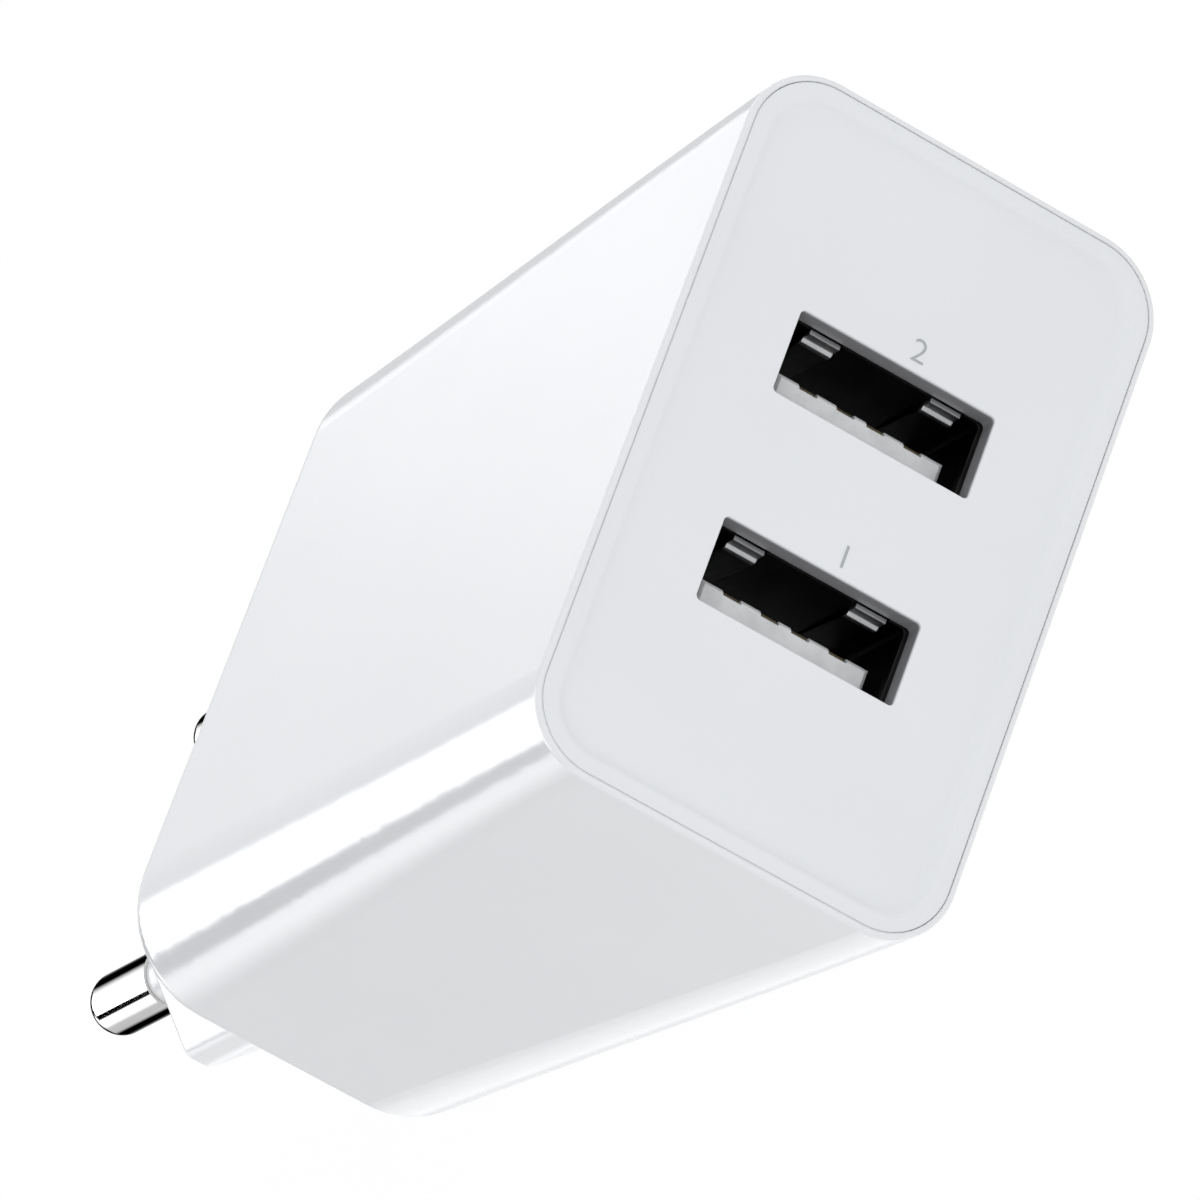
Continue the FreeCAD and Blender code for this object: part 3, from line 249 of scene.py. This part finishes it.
def strip_metal(bright, dull, gloss):
    """Rolled contact strip or wire with drawing lines and dull patches."""

    def build(s):
        lines = s.noise(6000.0, 2.0, 0.5, (1.0, 0.05, 1.0))
        colour = s.blend(s.ramp(s.noise(500.0, 3.0), 0.35, 0.7), rgb(*bright), rgb(*dull))
        normal = s.bump(lines, 0.0000015, s.soft_edges(0.00005))
        return {"Base_Color": colour, "Metallic": 1.0, "Normal": normal,
                "Roughness": s.ramp(lines, 0.35, 0.7, gloss, gloss + 0.15)}

    return build


def board_laminate(s):
    """Green solder mask over copper tracks, with the weave of the glass cloth under it."""
    cells = s.add("ShaderNodeTexVoronoi", {"feature": "DISTANCE_TO_EDGE", "distance": "MANHATTAN"},
                  Vector=s.places(), Scale=260.0, Randomness=0.55).outputs["Distance"]
    tracks = s.ramp(cells, 0.10, 0.14, 1.0, 0.0)
    weave_a = s.add("ShaderNodeTexWave", {"bands_direction": "X"}, Vector=s.places(),
                    Scale=700.0).outputs["Fac"]
    weave_b = s.add("ShaderNodeTexWave", {"bands_direction": "Y"}, Vector=s.places(),
                    Scale=700.0).outputs["Fac"]
    weave = s.math("MULTIPLY", weave_a, weave_b)
    colour = s.blend(tracks, rgb(0.020, 0.105, 0.050), rgb(0.050, 0.215, 0.095))
    colour = s.blend(s.math("MULTIPLY", weave, 0.25), colour, rgb(0.10, 0.22, 0.12))
    height = s.math("ADD", tracks, s.math("MULTIPLY", weave, 0.25))
    return {"Base_Color": colour, "Normal": s.bump(height, 0.00002),
            "Roughness": s.ramp(s.noise(400.0), 0.3, 0.7, 0.22, 0.36)}


def sintered(s):
    """Ground ferrite: dark, granular, with brighter ground faces."""
    grain = s.noise(5200.0, 4.0, 0.7)
    colour = s.blend(s.ramp(grain, 0.35, 0.7), rgb(0.045, 0.045, 0.050), rgb(0.11, 0.11, 0.115))
    normal = s.bump(grain, 0.000012, s.soft_edges(0.00015))
    return {"Base_Color": colour, "Metallic": 0.35, "Normal": normal,
            "Roughness": s.ramp(s.noise(900.0), 0.3, 0.7, 0.38, 0.58)}


def black_moulding(s):
    """Black phenolic moulding with a dry, slightly swirled skin."""
    swirl = s.noise(300.0, 4.0, 0.6, (1.0, 1.0, 0.4))
    colour = s.blend(s.ramp(swirl, 0.35, 0.7), rgb(0.018, 0.018, 0.020), rgb(0.045, 0.044, 0.046))
    normal = s.bump(s.noise(4200.0, 2.0), 0.000006, s.soft_edges(0.00008))
    return {"Base_Color": colour, "Normal": normal,
            "Roughness": s.ramp(swirl, 0.3, 0.7, 0.35, 0.52)}


def wound_copper(bands, pitch):
    """Close-laid enamelled wire: one ridge per turn, painted shade in the grooves between turns,
    and lacquer sheen.
    """

    def build(s):
        turns = s.add("ShaderNodeTexWave", {"wave_profile": "SIN", "bands_direction": bands},
                      Vector=s.places(), Scale=math.pi / (10.0 * pitch), Distortion=0.4,
                      Detail=1.0).outputs["Fac"]
        # painted shade: the colour goes dark in the grooves between turns and bright on the ridge
        # tops
        colour = s.blend(s.ramp(turns, 0.1, 0.7), rgb(0.16, 0.045, 0.015), rgb(0.62, 0.24, 0.09))
        return {"Base_Color": colour, "Metallic": 0.8, "Normal": s.bump(turns, pitch * 0.35),
                "Roughness": s.ramp(s.noise(800.0), 0.3, 0.7, 0.22, 0.36), "Coat_Weight": 0.6,
                "Coat_Roughness": 0.15}

    return build


def polyester_tape(s):
    """Yellow transformer tape with wrinkles and a visible lap."""
    wrinkle = s.noise(350.0, 4.0, 0.6, (1.0, 1.0, 0.3))
    colour = s.blend(s.ramp(wrinkle, 0.3, 0.7), rgb(0.76, 0.55, 0.06), rgb(0.62, 0.43, 0.04))
    return {"Base_Color": colour, "Roughness": s.ramp(wrinkle, 0.3, 0.7, 0.18, 0.34),
            "Normal": s.bump(wrinkle, 0.00006), "Coat_Weight": 0.4}


def can_sleeve(node, film, stripe):
    """Shrink-film sleeve with its polarity stripe, and the bare aluminium top with its shoulder."""
    low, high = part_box(node)
    centre_x, centre_y = (low.x + high.x) / 2, (low.y + high.y) / 2
    stripe_half = 0.38  # half the angle that the stripe takes, in radians

    def build(s):
        dx = s.math("SUBTRACT", s.axis("X"), centre_x)
        dy = s.math("SUBTRACT", s.axis("Y"), centre_y)
        radius = s.math("SQRT", s.math("ADD", s.math("MULTIPLY", dx, dx),
                                       s.math("MULTIPLY", dy, dy)))
        top = s.ramp(s.axis("Z"), high.z - 0.00035, high.z - 0.00025)
        bare = s.math("MULTIPLY", top, s.ramp(radius, 0.0035, 0.0034))
        angle = s.math("ARCTAN2", dy, dx)
        band = s.ramp(s.math("ABSOLUTE", angle), 0.42, stripe_half)
        film_colour = s.blend(band, rgb(*film), rgb(*stripe))
        under = s.ramp(s.axis("Z"), low.z + 0.0026, low.z + 0.0024)
        lead = s.math("MULTIPLY", under, s.ramp(radius, 0.0031, 0.0029))
        metal = s.math("MAXIMUM", bare, lead)
        brushed = s.noise(2600.0, 2.0, 0.6, (1.0, 0.2, 1.0))
        colour = s.blend(metal, film_colour, rgb(0.70, 0.71, 0.72))
        rough = s.ramp(brushed, 0.3, 0.7, 0.18, 0.30)
        return {"Base_Color": colour, "Metallic": metal, "Roughness": rough,
                "Normal": s.bump(s.noise(900.0, 3.0), 0.00001)}

    return build


def dipped(colour_a, colour_b, gloss):
    """Dip-coated part: thick, glossy, gently lumpy skin."""

    def build(s):
        lump = s.noise(500.0, 3.0)
        colour = s.blend(s.ramp(lump, 0.3, 0.7), rgb(*colour_a), rgb(*colour_b))
        rough = s.ramp(s.noise(1200.0), 0.3, 0.7, gloss, gloss + 0.12)
        return {"Base_Color": colour, "Roughness": rough, "Normal": s.bump(lump, 0.00009),
                "Coat_Weight": 0.5, "Coat_Roughness": 0.08}

    return build


def fuse_body(s):
    """Cement-coated fusible resistor with plain colour rings and tinned ends."""
    low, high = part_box("fuse_resistor")
    middle = (low.y + high.y) / 2
    along = s.math("SUBTRACT", s.axis("Y"), middle)
    colour = rgb(0.20, 0.30, 0.24)
    for place, paint in ((-0.0020, rgb(0.30, 0.10, 0.03)), (-0.0008, rgb(0.02, 0.02, 0.02)),
                         (0.0004, rgb(0.02, 0.02, 0.02)), (0.0018, rgb(0.50, 0.36, 0.08))):
        off = s.math("ABSOLUTE", s.math("SUBTRACT", along, place))
        colour = s.blend(s.ramp(off, 0.00032, 0.00026), colour, paint)
    metal = s.ramp(s.math("ABSOLUTE", along), 0.00285, 0.00292)
    grit = s.noise(3200.0, 3.0)
    colour = s.blend(metal, colour, rgb(0.66, 0.66, 0.66))
    return {"Base_Color": colour, "Metallic": metal, "Normal": s.bump(grit, 0.00002),
            "Roughness": s.ramp(grit, 0.3, 0.7, 0.30, 0.52)}


def chip_body(node, under):
    """Moulded chip package with fine sparked texture, and tinned feet next to the board."""
    low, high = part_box(node)

    def build(s):
        if under:
            foot = s.ramp(s.axis("Z"), high.z - 0.00026, high.z - 0.00020)
        else:
            foot = s.ramp(s.axis("Z"), low.z + 0.00026, low.z + 0.00020)
        grain = s.noise(7000.0, 3.0, 0.6)
        colour = s.blend(s.ramp(grain, 0.3, 0.7), rgb(0.016, 0.016, 0.018),
                         rgb(0.035, 0.035, 0.038))
        colour = s.blend(foot, colour, rgb(0.66, 0.66, 0.66))
        return {"Base_Color": colour, "Metallic": foot, "Normal": s.bump(grain, 0.000008),
                "Roughness": s.ramp(grain, 0.3, 0.7, 0.42, 0.6)}

    return build


def end_capped(node, length, step, body_a, body_b):
    """Rows of chip parts: coloured bodies between plated ends, worked out from the grid's pitch."""
    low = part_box(node)[0]

    def build(s):
        along = s.math("MODULO", s.math("SUBTRACT", s.axis("X"), low.x), step)
        off = s.math("ABSOLUTE", s.math("SUBTRACT", along, length / 2))
        metal = s.ramp(off, length * 0.30, length * 0.33)
        grain = s.noise(5200.0, 3.0)
        colour = s.blend(s.ramp(grain, 0.3, 0.7), rgb(*body_a), rgb(*body_b))
        colour = s.blend(metal, colour, rgb(0.70, 0.70, 0.68))
        return {"Base_Color": colour, "Metallic": metal, "Normal": s.bump(grain, 0.00001),
                "Roughness": s.ramp(grain, 0.3, 0.7, 0.28, 0.45)}

    return build


def film_sheet(s):
    """Milky insulating film with shallow creases."""
    crease = s.noise(120.0, 4.0, 0.6)
    colour = s.blend(s.ramp(crease, 0.3, 0.7), rgb(0.76, 0.74, 0.67), rgb(0.66, 0.63, 0.56))
    return {"Base_Color": colour, "Roughness": s.ramp(crease, 0.3, 0.7, 0.25, 0.4),
            "Normal": s.bump(crease, 0.0001)}


def print_ink(s):
    """Pad-printed grey ink: slightly broken cover and a matt skin."""
    cover = s.noise(6500.0, 3.0, 0.6)
    colour = s.blend(s.ramp(cover, 0.35, 0.75), rgb(0.38, 0.39, 0.40), rgb(0.48, 0.49, 0.50))
    return {"Base_Color": colour, "Roughness": s.ramp(cover, 0.3, 0.7, 0.45, 0.6),
            "Normal": s.bump(cover, 0.000004)}


builders = {
    "main_shell": moulded_white((0.80, 0.805, 0.82), 0.10, 0.0000035, 0.00018),
    "front_cover": moulded_white((0.79, 0.80, 0.82), 0.18, 0.000004, 0.00012, painted_port_wall_shade),
    "plug_carrier": moulded_white((0.88, 0.885, 0.90), 0.20, 0.000005, 0.0003),
    "pin_sleeve_left": moulded_white((0.78, 0.78, 0.79), 0.26, 0.000005, 0.0001),
    "pin_sleeve_right": moulded_white((0.78, 0.78, 0.79), 0.26, 0.000005, 0.0001),
    "mains_pin_left": nickel_pin,
    "mains_pin_right": nickel_pin,
    "mains_contact_left": strip_metal((0.80, 0.62, 0.30), (0.62, 0.44, 0.20), 0.18),
    "mains_contact_right": strip_metal((0.80, 0.62, 0.30), (0.62, 0.44, 0.20), 0.18),
    "main_board": board_laminate,
    "usb_shell_1": port_steel,
    "usb_shell_2": port_steel,
    "usb_insulator_1": port_core,
    "usb_insulator_2": port_core,
    "usb_contacts_1": strip_metal((0.13, 0.11, 0.07), (0.09, 0.075, 0.05), 0.24),
    "usb_contacts_2": strip_metal((0.13, 0.11, 0.07), (0.09, 0.075, 0.05), 0.24),
    "core_half_rear": sintered,
    "core_half_front": sintered,
    "transformer_bobbin": black_moulding,
    "transformer_winding": wound_copper("Y", 0.00035),
    "winding_tape": polyester_tape,
    "core_tape": polyester_tape,
    "transformer_pins": strip_metal((0.72, 0.72, 0.71), (0.58, 0.58, 0.57), 0.20),
    "y_capacitor": dipped((0.030, 0.090, 0.330), (0.022, 0.065, 0.250), 0.12),
    "fuse_resistor": fuse_body,
    "choke_core": sintered,
    "choke_winding": wound_copper("Z", 0.0003),
    "bridge_rectifier": chip_body("bridge_rectifier", False),
    "primary_controller": chip_body("primary_controller", True),
    "output_rectifier": chip_body("output_rectifier", True),
    "port_controller": chip_body("port_controller", True),
    "chip_resistors": end_capped("chip_resistors", 0.0016, 0.0028, (0.03, 0.03, 0.035),
                                 (0.06, 0.06, 0.07)),
    "chip_capacitors": end_capped("chip_capacitors", 0.0020, 0.0032, (0.34, 0.24, 0.15),
                                  (0.27, 0.19, 0.12)),
    "insulation_sheet": film_sheet,
}
for side in ("left", "right"):
    can = f"input_capacitor_{side}"
    builders[can] = can_sleeve(can, (0.020, 0.020, 0.028), (0.55, 0.56, 0.58))
    can = f"output_capacitor_{side}"
    builders[can] = can_sleeve(can, (0.020, 0.075, 0.045), (0.62, 0.60, 0.50))

for name, thing in nodes.items():
    thing.data.materials.clear()
    thing.data.materials.append(principled(name + "_finish", builders[name]))


# ---------------------------------------------------------------- printed numerals

INK = 0.004 * MM  # the numerals stand this far proud of the cover's face
NUMERAL_HEIGHT = 2.1 * MM
NUMERAL_THIN = -0.012 * MM
NUMERAL_GAP = 1.0 * MM  # from the port to the numeral's middle
NUMERAL_Z = -0.85 * MM
NUMERAL_TURN = Matrix(((0, 1, 0, 0), (0, 0, -1, 0), (-1, 0, 0, 0), (0, 0, 0, 1)))

ink = principled("print_ink", print_ink)
print_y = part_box("front_cover")[0].y + LIP - INK


def numeral(digit, port_node):
    """A small printed port number beside its port, reading along the port's long side."""
    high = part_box(port_node)[1]
    curve = bpy.data.curves.new(f"port_numeral_{digit}", "FONT")
    curve.body = digit
    curve.size = NUMERAL_HEIGHT
    curve.align_x = "CENTER"
    curve.align_y = "CENTER"
    curve.offset = NUMERAL_THIN
    made = bpy.data.objects.new(f"port_numeral_{digit}", curve)
    scene.collection.objects.link(made)
    at = Vector((high.x + NUMERAL_GAP, print_y, NUMERAL_Z))
    made.matrix_world = Matrix.Translation(at) @ NUMERAL_TURN
    curve.materials.append(ink)
    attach(made, "root")


numeral("1", "usb_shell_1")
numeral("2", "usb_shell_2")


# ---------------------------------------------------------------- floor, light and camera


def make_floor():
    """A plain pale floor, mostly self-lit, open from below so that the underside can be seen."""
    reach, sides = 1.6, 96
    glow_share, glow_strength, lift = 0.88, 0.88, 0.14
    mesh = bpy.data.meshes.new("floor")
    level = cad_box[0].z - 0.00002
    ring = [(reach * math.cos(a), reach * math.sin(a), level)
            for a in (math.tau * k / sides for k in range(sides))]
    mesh.from_pydata(ring, [], [list(range(sides))])
    thing = bpy.data.objects.new("floor", mesh)
    scene.collection.objects.link(thing)
    made = bpy.data.materials.new("floor_paint")
    made.use_nodes = True
    s = Shader(made.node_tree)
    mottle = s.ramp(s.noise(9.0, 3.0), 0.3, 0.7, 0.97, 1.0)
    pale = s.blend(mottle, rgb(0.5, 0.5, 0.5), rgb(0.9, 0.9, 0.9))
    paint = s.add("ShaderNodeBsdfDiffuse", Color=pale)
    glow = s.add("ShaderNodeEmission", Color=rgb(1, 1, 1), Strength=glow_strength)
    body = s.add("ShaderNodeMixShader", i0=glow_share, i1=paint.outputs[0], i2=glow.outputs[0])
    lit = s.add("ShaderNodeAddShader", i0=body.outputs[0],
                i1=s.add("ShaderNodeEmission", Strength=lift).outputs[0])
    away = s.add("ShaderNodeNewGeometry").outputs["Backfacing"]
    clear = s.add("ShaderNodeBsdfTransparent")
    both = s.add("ShaderNodeMixShader", i0=away, i1=lit.outputs[0], i2=clear.outputs[0])
    s.add("ShaderNodeOutputMaterial", Surface=both.outputs[0])
    mesh.materials.append(made)
    thing.visible_glossy = False


def make_world():
    """Even studio light, a white backdrop, and softbox bands that only glossy rays see.

    x, y and z are a ray's direction: y is positive behind the object and z is up.
    """
    first_strength, second_strength = 5.2, 2.7
    world = bpy.data.worlds.new("studio")
    scene.world = world
    world.use_nodes = True
    s = Shader(world.node_tree)
    way = s.add("ShaderNodeSeparateXYZ", Vector=s.add("ShaderNodeTexCoord").outputs["Generated"])
    x, y, z = way.outputs
    path = s.add("ShaderNodeLightPath")

    # behind the object: a white band, a dark gap, a second band that fades, and mild sides
    band = s.ramp(x, 0.17, 0.06)
    first = s.math("MULTIPLY", band, s.ramp(z, 0.290, 0.302))
    second = s.math("MULTIPLY", s.ramp(z, 0.175, 0.120), s.ramp(z, -0.23, 0.06))
    second = s.math("MULTIPLY", second, s.ramp(x, 0.0, -0.1))
    below = s.math("MULTIPLY", s.ramp(z, 0.0, -0.25), s.ramp(z, -0.30, -0.42, 0.68, 1.4))
    below = s.math("MULTIPLY", below, band)
    side = s.ramp(x, 0.395, 0.445, 1.34, 2.0)
    graze = s.ramp(x, 0.43, 0.46, 0.95, 0.72)
    mild = s.add("ShaderNodeMix", {"data_type": "FLOAT"}, i0=s.ramp(z, 0.08, 0.20), i2=graze,
                 i3=side).outputs[0]
    mild = s.math("MULTIPLY", mild, s.math("SUBTRACT", 1.0, band))
    rear = s.math("ADD", s.math("MULTIPLY", first, first_strength),
                  s.math("MULTIPLY", second, second_strength))
    rear = s.math("ADD", rear, s.math("ADD", mild, below))

    # before the object: a broad soft gradient, brighter from above
    front = s.ramp(z, -0.6, 0.9, 0.55, 1.5)
    mirror = s.math("ADD", s.math("MULTIPLY", rear, s.ramp(y, 0.0, 0.4)),
                    s.math("MULTIPLY", front, s.ramp(y, 0.4, 0.0)))
    even = s.ramp(z, -1.0, 1.0, 0.60, 0.70)
    light = s.add("ShaderNodeMix", {"data_type": "FLOAT"}, i0=path.outputs["Is Glossy Ray"],
                  i2=even, i3=mirror).outputs[0]
    shown = s.add("ShaderNodeMix", {"data_type": "FLOAT"}, i0=path.outputs["Is Camera Ray"],
                  i2=light, i3=1.0).outputs[0]
    tint = s.blend(path.outputs["Is Camera Ray"], rgb(0.97, 0.985, 1.0), rgb(1, 1, 1))
    back = s.add("ShaderNodeBackground", Color=tint, Strength=shown)
    s.add("ShaderNodeOutputWorld", Surface=back.outputs[0])


def softbox(name, at, toward, size, power):
    """A square area light aimed at a point; reflections show the studio bands instead of it."""
    data = bpy.data.lights.new(name, "AREA")
    data.shape = "SQUARE"
    data.size = size
    data.energy = power
    lamp = bpy.data.objects.new(name, data)
    scene.collection.objects.link(lamp)
    lamp.location = at
    lamp.rotation_mode = "QUATERNION"
    lamp.rotation_quaternion = (Vector(toward) - Vector(at)).to_track_quat("-Z", "Y")
    lamp.visible_glossy = False
    lamp.visible_camera = False


make_floor()
make_world()
middle = (cad_box[0] + cad_box[1]) / 2
softbox("key_light", middle + Vector((0.30, -0.20, 0.60)), middle, 0.5, 0.6)
softbox("fill_light", middle + Vector((-0.30, -0.60, 0.20)), middle, 0.6, 0.95)

# the camera, solved from the outlines of the face and the ports in the photograph
CAMERA_AT = Vector((-0.260467, -0.581489, 0.194472))
RIGHT = Vector((0.3191, -0.45306, -0.83241)).normalized()
UP = Vector((0.8516, -0.24835, 0.46163))
UP = (UP - RIGHT * UP.dot(RIGHT)).normalized()
BACK = RIGHT.cross(UP)
FOCAL_LENGTH, SENSOR_WIDTH = 330.0, 36.0

lens = bpy.data.cameras.new("camera")
lens.lens = FOCAL_LENGTH
lens.sensor_width = SENSOR_WIDTH
lens.clip_start = 0.01
lens.clip_end = 20.0
camera = bpy.data.objects.new("camera", lens)
scene.collection.objects.link(camera)
camera.matrix_world = Matrix((
    (RIGHT.x, UP.x, BACK.x, CAMERA_AT.x),
    (RIGHT.y, UP.y, BACK.y, CAMERA_AT.y),
    (RIGHT.z, UP.z, BACK.z, CAMERA_AT.z),
    (0, 0, 0, 1)))
scene.camera = camera

bpy.context.view_layer.update()
